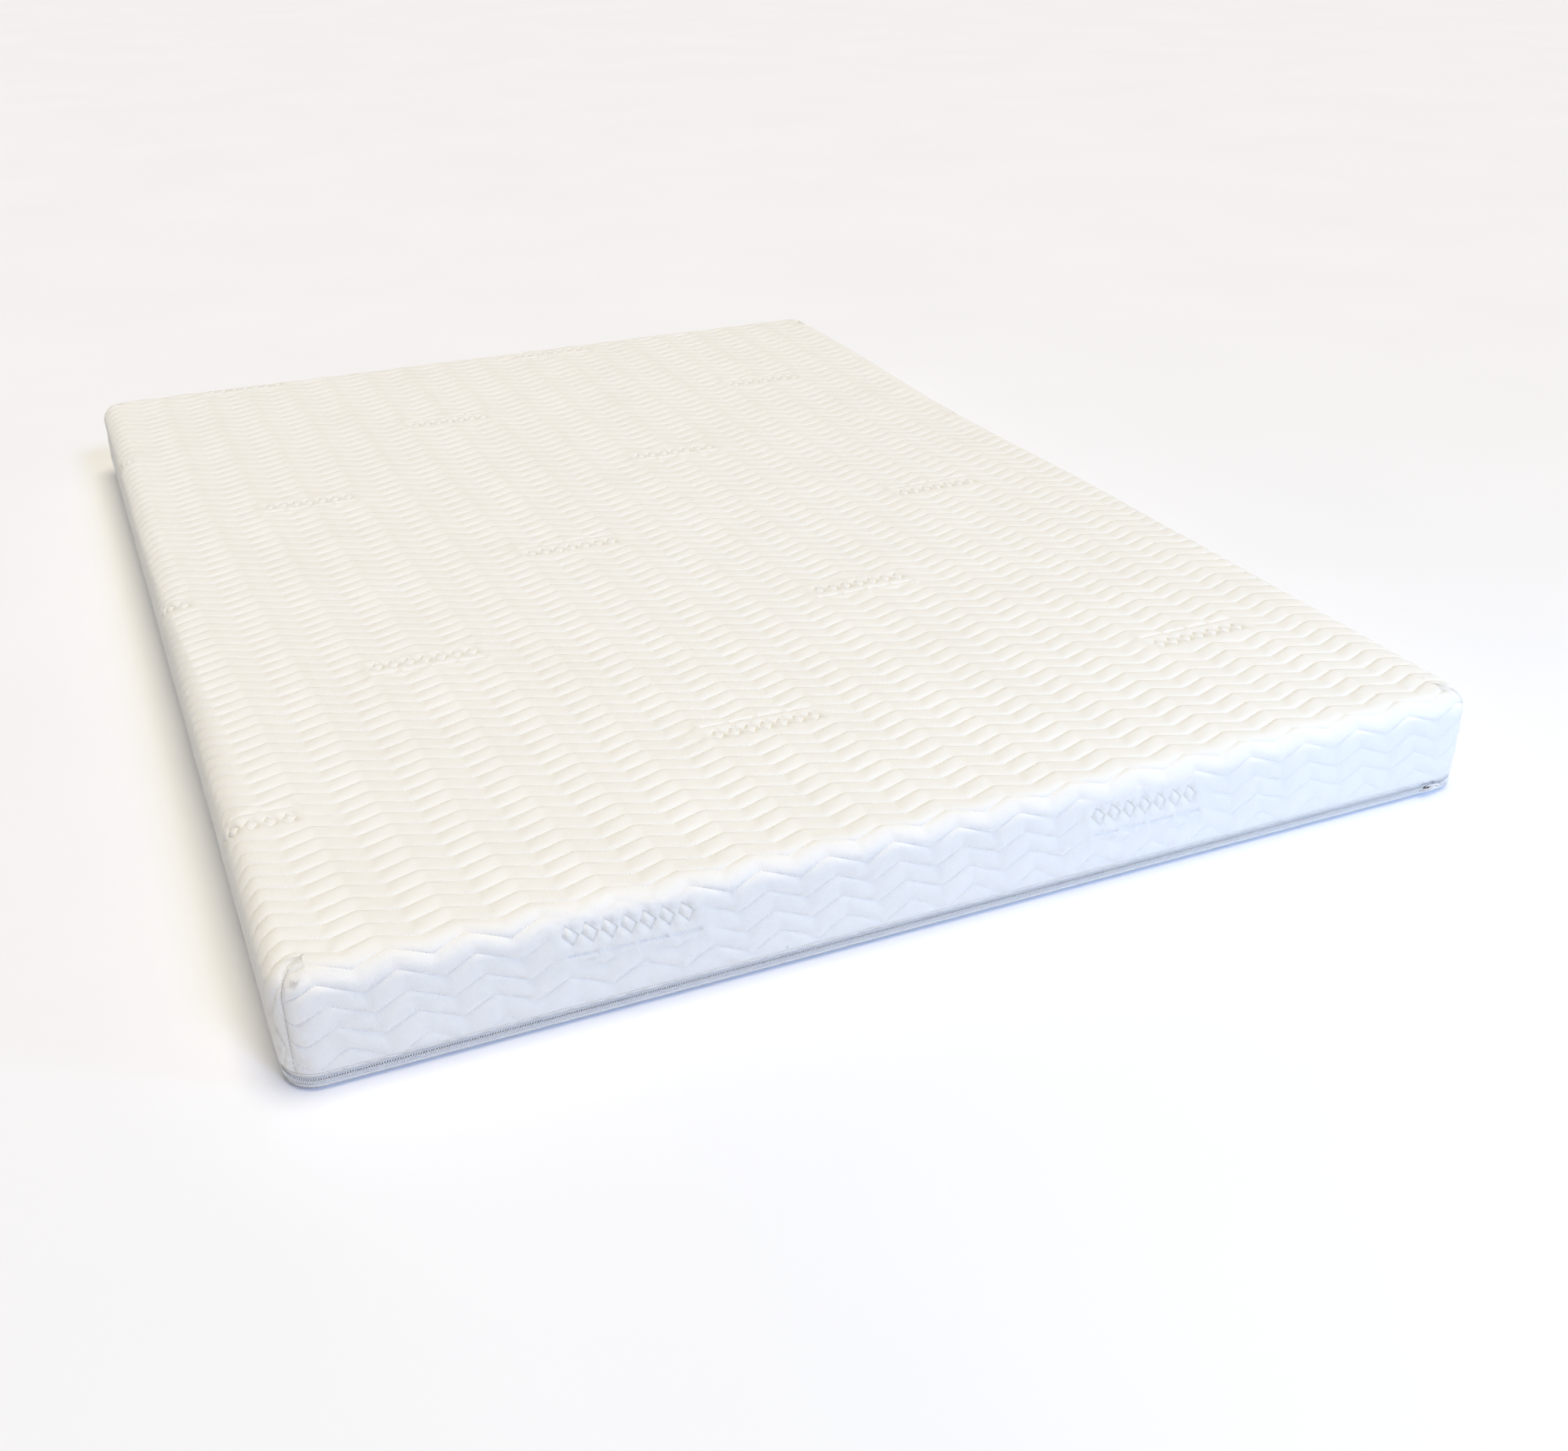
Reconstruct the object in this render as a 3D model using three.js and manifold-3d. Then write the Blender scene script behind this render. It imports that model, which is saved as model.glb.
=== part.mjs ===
// A double-bed memory foam mattress with a zip-off quilted cover.
//
// Two bonded foam layers stand in a shallow fabric tray, the base panel. A quilted top cover, cut in one piece and
// seamed at its four upright corners, comes down over the foam. A nylon coil zip joins the two all the way round,
// just above the floor, with its slider parked by the front right corner.
//
// Millimetres, +Z up. The origin is the middle of the underside, X runs across the bed and the zip's slider is on
// the -Y end. "Inset" is a distance inwards from the 1350 x 1900 outline, the same all the way round.

import * as THREE from "three";
import { mergeVertices } from "three/addons/utils/BufferGeometryUtils.js";
import Module from "manifold-3d";

const wasm = await Module();
wasm.setup();

// Driving dimensions
const WIDTH = 1350;
const LENGTH = 1900;
const HEIGHT = 125;
const CORNER_RADIUS = 36; // upright corners, seen from above
const TOP_EDGE_RADIUS = 25;
const GAP = 0.3; // between pieces that touch

// Top cover: quilted fabric, open underneath, ending in a hem that tucks in a little above the zip
const COVER_THICKNESS = 5;
const HEM_HEIGHT = 16.5;
const HEM_TUCK = 2.5;
const TUCK_HEIGHT = 20;

// Base panel: a fabric tray with a low rim
const BASE_INSET = 2.2;
const BASE_THICKNESS = 2;
const BASE_RIM_HEIGHT = 6.5;
const BASE_EDGE_RADIUS = 8;

// Foam
const FOAM_INSET = 6.5;
const BASE_FOAM_TOP = 72;
const FOAM_TOP_RADIUS = 19.5;
const FOAM_BOTTOM_RADIUS = 22;

// Zip: two woven tapes, each with a row of coil on its outer face
const CHAIN_HEIGHT = 11.2; // middle of the zip above the floor
const CHAIN_HALF_GAP = 0.8; // the slider's post runs between the two rows
const COIL_SIZE = 2;
const COIL_INSET = 3;
const TAPE_INSET = COIL_INSET + COIL_SIZE + GAP;
const TAPE_THICKNESS = 0.7;
const TAPE_BOTTOM = 5;
const TAPE_TOP = 22;
const STOP_LENGTH = 2.5;
const COIL_ENDS_X = [624.2, 636]; // the rows stop short of each other by the front right corner
const TAPE_ENDS_X = [629.4, 630.8];

// Slider and pull tab
const SLIDER_X = 618;
const SLIDER_LENGTH = 11;
const SLIDER_HEIGHT = 8;
const SLIDER_PLATE_INSET = 1.2;
const SLIDER_PLATE = 1.4;
const SLIDER_BACK_INSET = TAPE_INSET + TAPE_THICKNESS + 0.4;
const SLIDER_BACK_PLATE = 1.2;
const BRIDGE_WIDTH = 1.6;
const TAB_THICKNESS = 1.2;
const TAB_LENGTH = 19;

// Sewing
const LABEL_SIZE = [60, 0.5, 36];
const LABEL_CENTRE = { x: -585, height: 62 };
const THREAD_SIZE = 0.8;
const UPPER_STITCH_HEIGHT = 19.5;
const LOWER_STITCH_HEIGHT = 4.2;
const SEAM_THREAD_RADIUS = 0.7;
const SEAM_SPAN = [22, 118]; // heights between which a corner seam shows

// Facets
const CORNER_SEGMENTS = 5; // an arc is divided into twice this
const EDGE_SEGMENTS = 6;
const FAR = 400; // past the object in any direction that a cut should not reach

const FRONT = -LENGTH / 2;

// ---- Materials ----

const fabric = (color, roughness = 0.9) => new THREE.MeshStandardMaterial({ color, roughness, metalness: 0 });
const materials = {
  quilt: fabric(0xf4f0e4),
  basePanel: fabric(0xe9e8e4),
  zipTape: fabric(0xeef1f6, 0.8),
  zipCoil: new THREE.MeshStandardMaterial({ color: 0xf3f5f8, roughness: 0.45, metalness: 0 }),
  thread: fabric(0xf6f6f4, 0.7),
  label: fabric(0xfafafa, 0.6),
  memoryFoam: fabric(0xf3e9c9, 0.95),
  baseFoam: fabric(0xe4e8ec, 0.95),
  slider: new THREE.MeshStandardMaterial({ color: 0xe9edf2, roughness: 0.35, metalness: 0.2 }),
};

const mattress = new THREE.Group();

function addPiece(name, geometry, material) {
  const mesh = new THREE.Mesh(geometry, material);
  mesh.name = name;
  mattress.add(mesh);
}

// ---- Booleans ----

function toSolid(geometry) {
  const bare = geometry.clone();
  bare.deleteAttribute("normal");
  bare.deleteAttribute("uv");
  const merged = mergeVertices(bare, 1e-4);
  return new wasm.Manifold(
    new wasm.Mesh({
      numProp: 3,
      vertProperties: merged.attributes.position.array,
      triVerts: new Uint32Array(merged.index.array),
    }),
  );
}

function toGeometry(solid) {
  const mesh = solid.getMesh();
  return new THREE.BufferGeometry()
    .setAttribute("position", new THREE.BufferAttribute(mesh.vertProperties, 3))
    .setIndex(new THREE.BufferAttribute(mesh.triVerts, 1));
}

function boxSolid(x0, x1, y0, y1, z0, z1) {
  const box = new THREE.BoxGeometry(x1 - x0, y1 - y0, z1 - z0);
  return toSolid(box.translate((x0 + x1) / 2, (y0 + y1) / 2, (z0 + z1) / 2));
}

const above = (height) => boxSolid(-WIDTH, WIDTH, -LENGTH, LENGTH, height, FAR);
const below = (height) => boxSolid(-WIDTH, WIDTH, -LENGTH, LENGTH, -FAR, height);

// ---- Shapes that follow the outline ----

function outline(inset, Kind = THREE.Shape) {
  const x = WIDTH / 2 - inset;
  const y = LENGTH / 2 - inset;
  const r = CORNER_RADIUS - inset;
  const path = new Kind();
  path.moveTo(-x + r, -y);
  path.lineTo(x - r, -y);
  path.absarc(x - r, -y + r, r, -Math.PI / 2, 0, false);
  path.lineTo(x, y - r);
  path.absarc(x - r, y - r, r, 0, Math.PI / 2, false);
  path.lineTo(-x + r, y);
  path.absarc(-x + r, y - r, r, Math.PI / 2, Math.PI, false);
  path.lineTo(-x, -y + r);
  path.absarc(-x + r, -y + r, r, Math.PI, 1.5 * Math.PI, false);
  return path;
}

// A slab with its top and bottom edges rounded, by the same amount inwards (rounding) and upwards (rise).
function slab(inset, bottom, top, rounding, rise = rounding) {
  const geometry = new THREE.ExtrudeGeometry(outline(inset + rounding), {
    depth: top - bottom - 2 * rise,
    bevelSize: rounding,
    bevelThickness: rise,
    bevelSegments: EDGE_SEGMENTS,
    curveSegments: CORNER_SEGMENTS,
  });
  return toSolid(geometry.translate(0, 0, bottom + rise));
}

// A band with upright walls, running right round between two insets.
function band(outerInset, innerInset, bottom, top) {
  const shape = outline(outerInset);
  shape.holes.push(outline(innerInset, THREE.Path));
  const geometry = new THREE.ExtrudeGeometry(shape, {
    depth: top - bottom,
    bevelEnabled: false,
    curveSegments: CORNER_SEGMENTS,
  });
  return toSolid(geometry.translate(0, 0, bottom));
}

// The box that cuts a band open between two places on the front edge.
const frontGap = ([from, to]) => boxSolid(from, to, FRONT - FAR, FRONT + FAR, -FAR, FAR);

// ---- Cover ----

// How far the top cover's outer face stands in from the outline, at a height.
function coverInset(height) {
  const tuckTop = HEM_HEIGHT + TUCK_HEIGHT;
  if (height < tuckTop) {
    return HEM_TUCK * (1 - Math.sqrt(1 - ((tuckTop - height) / TUCK_HEIGHT) ** 2));
  }
  const overEdge = Math.max(0, height - (HEIGHT - TOP_EDGE_RADIUS));
  return TOP_EDGE_RADIUS - Math.sqrt(TOP_EDGE_RADIUS ** 2 - overEdge ** 2);
}

// A corner seam's thread runs up the middle of an upright corner and over the top edge.
function seamThread(signX, signY, radius, [bottom, top]) {
  const centre = new THREE.Vector2(WIDTH / 2 - CORNER_RADIUS, LENGTH / 2 - CORNER_RADIUS);
  const points = [];
  for (let i = 0; i <= EDGE_SEGMENTS; i++) {
    const height = bottom + ((top - bottom) * i) / EDGE_SEGMENTS;
    const reach = (CORNER_RADIUS - coverInset(height)) * Math.SQRT1_2;
    points.push(new THREE.Vector3(signX * (centre.x + reach), signY * (centre.y + reach), height));
  }
  const section = new THREE.Shape().absarc(0, 0, radius, 0, 2 * Math.PI, false);
  return toSolid(
    new THREE.ExtrudeGeometry(section, {
      steps: 2 * EDGE_SEGMENTS,
      extrudePath: new THREE.CatmullRomCurve3(points),
      curveSegments: 4,
    }),
  );
}

function addCover() {
  const widened = SEAM_THREAD_RADIUS + GAP;
  let shell = slab(0, -FAR, HEIGHT, TOP_EDGE_RADIUS)
    .intersect(slab(0, HEM_HEIGHT, FAR, HEM_TUCK, TUCK_HEIGHT))
    .subtract(
      slab(COVER_THICKNESS, -FAR, HEIGHT - COVER_THICKNESS, TOP_EDGE_RADIUS - COVER_THICKNESS),
    );
  for (const [name, signX, signY] of [
    ["front_left", -1, -1],
    ["front_right", 1, -1],
    ["back_right", 1, 1],
    ["back_left", -1, 1],
  ]) {
    const thread = seamThread(signX, signY, SEAM_THREAD_RADIUS, SEAM_SPAN);
    const groove = seamThread(signX, signY, widened, [SEAM_SPAN[0] - GAP, SEAM_SPAN[1] + GAP]);
    shell = shell.subtract(groove);
    addPiece("corner_seam_thread_" + name, toGeometry(thread), materials.thread);
  }
  const stitchInset = coverInset(UPPER_STITCH_HEIGHT) - THREAD_SIZE / 2;
  const stitch = [stitchInset, stitchInset + THREAD_SIZE];
  const stitchTop = UPPER_STITCH_HEIGHT + THREAD_SIZE;
  shell = shell.subtract(band(-1, stitch[1] + GAP, UPPER_STITCH_HEIGHT - GAP, stitchTop + GAP));
  addPiece("cover_top_shell", toGeometry(shell), materials.quilt);
  addPiece(
    "zip_stitching_upper",
    toGeometry(band(...stitch, UPPER_STITCH_HEIGHT, stitchTop)),
    materials.thread,
  );
}

function addBasePanel() {
  const edge = BASE_EDGE_RADIUS;
  const middle = LOWER_STITCH_HEIGHT + THREAD_SIZE / 2;
  const rimInset = BASE_INSET + edge - Math.sqrt(edge ** 2 - (edge - middle) ** 2);
  const stitch = [rimInset - THREAD_SIZE / 2, rimInset + THREAD_SIZE / 2];
  const stitchTop = LOWER_STITCH_HEIGHT + THREAD_SIZE;
  const tray = slab(BASE_INSET, 0, FAR, edge)
    .intersect(below(BASE_RIM_HEIGHT))
    .subtract(slab(BASE_INSET + BASE_THICKNESS, BASE_THICKNESS, FAR, edge - BASE_THICKNESS))
    .subtract(band(1, stitch[1] + GAP, LOWER_STITCH_HEIGHT - GAP, stitchTop + GAP));
  addPiece("cover_base_panel", toGeometry(tray), materials.basePanel);
  addPiece(
    "zip_stitching_lower",
    toGeometry(band(...stitch, LOWER_STITCH_HEIGHT, stitchTop)),
    materials.thread,
  );
}

// A blank care label lies against the back of the cover, near its left corner.
function addCareLabel() {
  const label = new THREE.BoxGeometry(...LABEL_SIZE);
  const y = LENGTH / 2 + GAP + LABEL_SIZE[1] / 2;
  addPiece("care_label", label.translate(LABEL_CENTRE.x, y, LABEL_CENTRE.height), materials.label);
}

// ---- Foam ----

function addFoam() {
  const base = slab(FOAM_INSET, BASE_THICKNESS + GAP, FAR, FOAM_BOTTOM_RADIUS);
  addPiece("base_foam_core", toGeometry(base.intersect(below(BASE_FOAM_TOP))), materials.baseFoam);
  const foamTop = HEIGHT - COVER_THICKNESS - GAP;
  const memory = slab(FOAM_INSET, -FAR, foamTop, FOAM_TOP_RADIUS);
  addPiece(
    "memory_foam_layer",
    toGeometry(memory.intersect(above(BASE_FOAM_TOP + GAP))),
    materials.memoryFoam,
  );
}

// ---- Zip ----

function addZipRow(row, rowBottom, tapeBottom, tapeTop) {
  const tape = band(TAPE_INSET, TAPE_INSET + TAPE_THICKNESS, tapeBottom, tapeTop);
  addPiece("zip_tape_" + row, toGeometry(tape.subtract(frontGap(TAPE_ENDS_X))), materials.zipTape);
  const coil = band(COIL_INSET, COIL_INSET + COIL_SIZE, rowBottom, rowBottom + COIL_SIZE);
  addPiece("zip_coil_" + row, toGeometry(coil.subtract(frontGap(COIL_ENDS_X))), materials.zipCoil);
  for (const [end, x] of [
    ["closed_end", COIL_ENDS_X[0] + GAP],
    ["open_end", COIL_ENDS_X[1] - GAP - STOP_LENGTH],
  ]) {
    const stop = new THREE.BoxGeometry(STOP_LENGTH, COIL_SIZE, COIL_SIZE);
    stop.translate(x + STOP_LENGTH / 2, FRONT + COIL_INSET + COIL_SIZE / 2, rowBottom + COIL_SIZE / 2);
    addPiece("zip_stop_" + row + "_" + end, stop, materials.zipCoil);
  }
}

function addZip() {
  const upper = CHAIN_HEIGHT + CHAIN_HALF_GAP;
  const lower = CHAIN_HEIGHT - CHAIN_HALF_GAP;
  addZipRow("upper", upper, upper, TAPE_TOP);
  addZipRow("lower", lower - COIL_SIZE, TAPE_BOTTOM, lower);
}

// A shape drawn in X and Z, made solid between two insets from the front face.
function frontPlate(shape, outerInset, innerInset, bevel = 0) {
  const geometry = new THREE.ExtrudeGeometry(shape, {
    depth: innerInset - outerInset - 2 * bevel,
    bevelEnabled: bevel > 0,
    bevelSize: bevel,
    bevelOffset: -bevel,
    bevelThickness: bevel,
    bevelSegments: 2,
    curveSegments: 6,
  });
  return toSolid(geometry.rotateX(Math.PI / 2).translate(0, FRONT + innerInset - bevel, 0));
}

// The slider's plates are a little taller at the mouth, the +X end, than at the tail.
function sliderOutline() {
  const tailX = SLIDER_X - SLIDER_LENGTH / 2;
  const mouthX = SLIDER_X + SLIDER_LENGTH / 2;
  const mouth = SLIDER_HEIGHT / 2;
  const tail = mouth - 0.6;
  const corner = 1.4;
  const shape = new THREE.Shape();
  shape.moveTo(tailX + corner, CHAIN_HEIGHT - tail);
  shape.lineTo(mouthX - corner, CHAIN_HEIGHT - mouth);
  shape.quadraticCurveTo(mouthX, CHAIN_HEIGHT - mouth, mouthX, CHAIN_HEIGHT - mouth + corner);
  shape.lineTo(mouthX, CHAIN_HEIGHT + mouth - corner);
  shape.quadraticCurveTo(mouthX, CHAIN_HEIGHT + mouth, mouthX - corner, CHAIN_HEIGHT + mouth);
  shape.lineTo(tailX + corner, CHAIN_HEIGHT + tail);
  shape.quadraticCurveTo(tailX, CHAIN_HEIGHT + tail, tailX, CHAIN_HEIGHT + tail - corner);
  shape.lineTo(tailX, CHAIN_HEIGHT - tail + corner);
  shape.quadraticCurveTo(tailX, CHAIN_HEIGHT - tail, tailX + corner, CHAIN_HEIGHT - tail);
  return shape;
}

function rectangle(x0, x1, z0, z1, Kind = THREE.Shape) {
  const path = new Kind();
  path.moveTo(x0, z0);
  path.lineTo(x1, z0);
  path.lineTo(x1, z1);
  path.lineTo(x0, z1);
  path.closePath();
  return path;
}

// The arch that the pull tab hangs on, drawn in X and height above the plate.
function bridge() {
  const foot = 4.2;
  const leg = 1;
  const rise = 3.7;
  const corner = 1.4;
  const root = -0.2; // sunk into the plate
  const arch = new THREE.Shape();
  arch.moveTo(-foot, root);
  arch.lineTo(-foot + leg, root);
  arch.lineTo(-foot + leg, rise - leg);
  arch.lineTo(foot - leg, rise - leg);
  arch.lineTo(foot - leg, root);
  arch.lineTo(foot, root);
  arch.lineTo(foot, rise - corner);
  arch.quadraticCurveTo(foot, rise, foot - corner, rise);
  arch.lineTo(-foot + corner, rise);
  arch.quadraticCurveTo(-foot, rise, -foot, rise - corner);
  arch.closePath();
  const geometry = new THREE.ExtrudeGeometry(arch, {
    depth: BRIDGE_WIDTH,
    bevelEnabled: false,
    curveSegments: 5,
  });
  geometry.rotateX(Math.PI);
  return toSolid(
    geometry.translate(SLIDER_X, FRONT + SLIDER_PLATE_INSET, CHAIN_HEIGHT + BRIDGE_WIDTH / 2),
  );
}

function addSlider() {
  const plate = sliderOutline();
  const plateInner = SLIDER_PLATE_INSET + SLIDER_PLATE;
  const bottom = CHAIN_HEIGHT - SLIDER_HEIGHT / 2;
  const postStart = SLIDER_X + 2.2;
  const postHalf = CHAIN_HALF_GAP - GAP;
  const post = rectangle(postStart, postStart + 3, CHAIN_HEIGHT - postHalf, CHAIN_HEIGHT + postHalf);
  const lip = rectangle(SLIDER_X - 3.6, SLIDER_X + 3.9, bottom + 0.35, bottom + 0.85);
  const body = frontPlate(plate, SLIDER_PLATE_INSET, plateInner, GAP)
    .add(frontPlate(plate, SLIDER_BACK_INSET, SLIDER_BACK_INSET + SLIDER_BACK_PLATE, GAP))
    .add(frontPlate(post, plateInner - GAP, SLIDER_BACK_INSET + GAP))
    .add(frontPlate(lip, plateInner - GAP, TAPE_INSET - GAP))
    .add(bridge());
  addPiece("zip_slider_body", toGeometry(body), materials.slider);
}

// The tab's end bar lies under the bridge and turns about it; the bridge's leg stands in the tab's slot.
function addPullTab() {
  const bar = 0.7;
  const halfWidth = 3.4;
  const tipHalf = 2.6;
  const shoulderX = SLIDER_X + 7;
  const tipX = SLIDER_X + TAB_LENGTH - tipHalf;
  const shape = new THREE.Shape();
  shape.moveTo(SLIDER_X - bar, CHAIN_HEIGHT - halfWidth);
  shape.lineTo(shoulderX, CHAIN_HEIGHT - halfWidth);
  shape.lineTo(tipX, CHAIN_HEIGHT - tipHalf);
  shape.absarc(tipX, CHAIN_HEIGHT, tipHalf, -Math.PI / 2, Math.PI / 2, false);
  shape.lineTo(shoulderX, CHAIN_HEIGHT + halfWidth);
  shape.lineTo(SLIDER_X - bar, CHAIN_HEIGHT + halfWidth);
  shape.closePath();
  const slotHalf = BRIDGE_WIDTH / 2 + 0.5;
  const [slotBottom, slotTop] = [CHAIN_HEIGHT - slotHalf, CHAIN_HEIGHT + slotHalf];
  shape.holes.push(rectangle(SLIDER_X + bar, SLIDER_X + 5.4, slotBottom, slotTop, THREE.Path));
  const eyeRadius = 1.1;
  const eye = new THREE.Path().absarc(tipX - eyeRadius, CHAIN_HEIGHT, eyeRadius, 0, 2 * Math.PI, true);
  shape.holes.push(eye);
  const tab = frontPlate(shape, -TAB_THICKNESS / 2, TAB_THICKNESS / 2);
  addPiece("zip_pull_tab", toGeometry(tab), materials.slider);
}

addFoam();
addCover();
addBasePanel();
addCareLabel();
addZip();
addSlider();
addPullTab();

export default mattress;
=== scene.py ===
"""Memory foam mattress: a quilted, zip-off cover over two foam layers, in metres, +Z up, foot end at -Y."""
import math

import bmesh
import bpy
import numpy as np
from mathutils import Matrix, Vector
from mathutils.geometry import delaunay_2d_cdt


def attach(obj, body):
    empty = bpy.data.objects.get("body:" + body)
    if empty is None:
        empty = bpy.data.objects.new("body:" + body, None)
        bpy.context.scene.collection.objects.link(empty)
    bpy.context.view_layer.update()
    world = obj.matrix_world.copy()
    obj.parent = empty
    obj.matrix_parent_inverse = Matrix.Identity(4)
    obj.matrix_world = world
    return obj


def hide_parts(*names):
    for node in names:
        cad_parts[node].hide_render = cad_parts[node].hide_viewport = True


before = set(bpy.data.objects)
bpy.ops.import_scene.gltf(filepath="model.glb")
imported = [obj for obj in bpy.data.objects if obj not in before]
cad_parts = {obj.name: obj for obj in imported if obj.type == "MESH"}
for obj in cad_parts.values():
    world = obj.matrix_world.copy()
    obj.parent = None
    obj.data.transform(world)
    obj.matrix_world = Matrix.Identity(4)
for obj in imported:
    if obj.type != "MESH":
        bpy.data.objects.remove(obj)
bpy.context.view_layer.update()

# The mattress.
HALF_WIDTH = 0.675
HALF_LENGTH = 0.95
HEIGHT = 0.125
CORNER_RADIUS = 0.036
TOP_RADIUS = 0.025
CORNER_X = HALF_WIDTH - CORNER_RADIUS
CORNER_Y = HALF_LENGTH - CORNER_RADIUS

# The quilting.
PERIOD = 0.0716
FIRST_PEAK = 0.1755
ZIGZAG = 0.0065
GROOVE_DEPTH = 0.0020
QUILT_THICKNESS = 0.005
SEAM_DEPTH = 0.0022
HEM_DIP = 0.0009
WELD_REACH = 2e-5
LABEL = (-0.585, 0.062, 0.060, 0.036)
LABEL_MARGIN = (0.004, 0.003)
MOTIF_ROWS = 25
MOTIF_COLUMNS = 8
MOTIF_HALF = (PERIOD, 0.0225)

CLOTH_FRAMES = 12

# The zip and the stitching.
TOOTH_PITCH = 0.0024
STITCH_PITCH = 0.0042

# The foam layers.
FOAM_INSET = 0.0065
CORE_BOTTOM = 0.0023
CORE_TOP = 0.072
MEMORY_BOTTOM = 0.0723
MEMORY_TOP = 0.1197

FLOOR = 25.0

rng = np.random.default_rng(41)


def smoothstep(low, high, value):
    """A smooth rise from 0 at low to 1 at high."""
    share = np.clip((value - low) / (high - low), 0.0, 1.0)
    return share * share * (3.0 - 2.0 * share)


# Camera and light.
def add_camera():
    """The camera at the viewing angle of the reference."""
    yaw, pitch, roll = -0.4041, 0.4810, -0.0158
    forward = Vector((-math.sin(yaw) * math.cos(pitch), math.cos(yaw) * math.cos(pitch), -math.sin(pitch)))
    level = Vector((math.cos(yaw), math.sin(yaw), 0.0))
    upright = level.cross(forward)
    right = math.cos(roll) * level + math.sin(roll) * upright
    up = math.cos(roll) * upright - math.sin(roll) * level
    data = bpy.data.cameras.new("camera")
    data.sensor_width = 36.0
    data.lens = 39.41
    camera = bpy.data.objects.new("camera", data)
    axes = Matrix((right, up, -forward)).transposed()
    camera.matrix_world = Matrix.Translation((-0.7368, -2.2379, 1.0022)) @ axes.to_4x4()
    bpy.context.collection.objects.link(camera)
    bpy.context.scene.camera = camera


def add_light(name, kind, place, target, size, power, colour):
    """An area light (size in metres) or a soft sun (size in radians) that faces its target."""
    data = bpy.data.lights.new(name, kind)
    if kind == "SUN":
        data.angle = size
    else:
        data.size = size
    data.energy = power
    data.color = colour
    light = bpy.data.objects.new(name, data)
    light.location = place
    light.rotation_euler = (Vector(target) - Vector(place)).to_track_quat("-Z", "Y").to_euler()
    bpy.context.collection.objects.link(light)


def add_lights():
    """A warm wide light overhead, cool softer ones in front of the foot end, and a pale surround."""
    add_light("overhead", "SUN", (0.1, -0.03, 1.0), (0.0, 0.0, 0.0), 0.6, 2.12, (1.0, 0.89, 0.655))
    add_light("front", "SUN", (0.35, -1.0, 0.75), (0.0, 0.0, 0.0), 0.25, 1.0, (0.47, 0.60, 1.0))
    add_light("front_low", "AREA", (0.9, -2.0, 0.7), (0.1, -0.8, 0.08), 0.35, 6.0, (0.40, 0.66, 1.0))
    world = bpy.data.worlds.new("surround")
    world.use_nodes = True
    background = world.node_tree.nodes["Background"]
    background.inputs["Color"].default_value = (0.97, 0.98, 1.0, 1.0)
    background.inputs["Strength"].default_value = 0.28
    bpy.context.scene.world = world
    bpy.context.scene.view_settings.view_transform = "Standard"


# The shape of the cover: fabric coordinates to the mattress.
FLAT_END_X = HALF_WIDTH - TOP_RADIUS
FLAT_END_Y = HALF_LENGTH - TOP_RADIUS
BEND = TOP_RADIUS * math.pi / 2
TUCK_TOP = 0.0365
TUCK_DROP = 0.020
TUCK_IN = 0.0025
TUCK_LENGTH = 0.0205
TUCK_START = BEND + HEIGHT - TOP_RADIUS - TUCK_TOP
HEM = TUCK_START + TUCK_LENGTH
HEM_SEAM = TUCK_START + TUCK_LENGTH * 0.645
FOLD_RADIUS = 0.0006
FOLD_ARC = FOLD_RADIUS * math.pi / 2
COVER_END = HEM + FOLD_ARC + 0.004
SEAM_REACH = CORNER_RADIUS * math.pi / 4


def profile(t):
    """Inset, height and slope angle of the cover's surface, t metres of fabric past the flat top."""
    inset = TOP_RADIUS - t
    height = np.full_like(t, HEIGHT)
    angle = np.zeros_like(t)
    bend = (t > 0) & (t <= BEND)
    angle[bend] = t[bend] / TOP_RADIUS
    inset[bend] = TOP_RADIUS * (1 - np.sin(angle[bend]))
    height[bend] = HEIGHT - TOP_RADIUS * (1 - np.cos(angle[bend]))
    side = t > BEND
    angle[side] = math.pi / 2
    inset[side] = 0.0
    height[side] = HEIGHT - TOP_RADIUS - (t[side] - BEND)
    tuck = t > TUCK_START
    turn = np.clip((t[tuck] - TUCK_START) / TUCK_LENGTH, 0, 1) * math.pi / 2
    angle[tuck] = math.pi / 2 + 0.25 * turn
    inset[tuck] = TUCK_IN * (1 - np.cos(turn))
    height[tuck] = TUCK_TOP - TUCK_DROP * np.sin(turn)
    fold = t > HEM
    roll = np.clip((t[fold] - HEM) / FOLD_ARC, 0, 1) * math.pi / 2
    rise = np.clip(t[fold] - HEM - FOLD_ARC, 0, None)
    angle[fold] = math.pi + roll
    inset[fold] = TUCK_IN + FOLD_RADIUS * np.sin(roll)
    height[fold] = TUCK_TOP - TUCK_DROP + FOLD_RADIUS * (1 - np.cos(roll)) + rise
    return inset, height, angle


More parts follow.
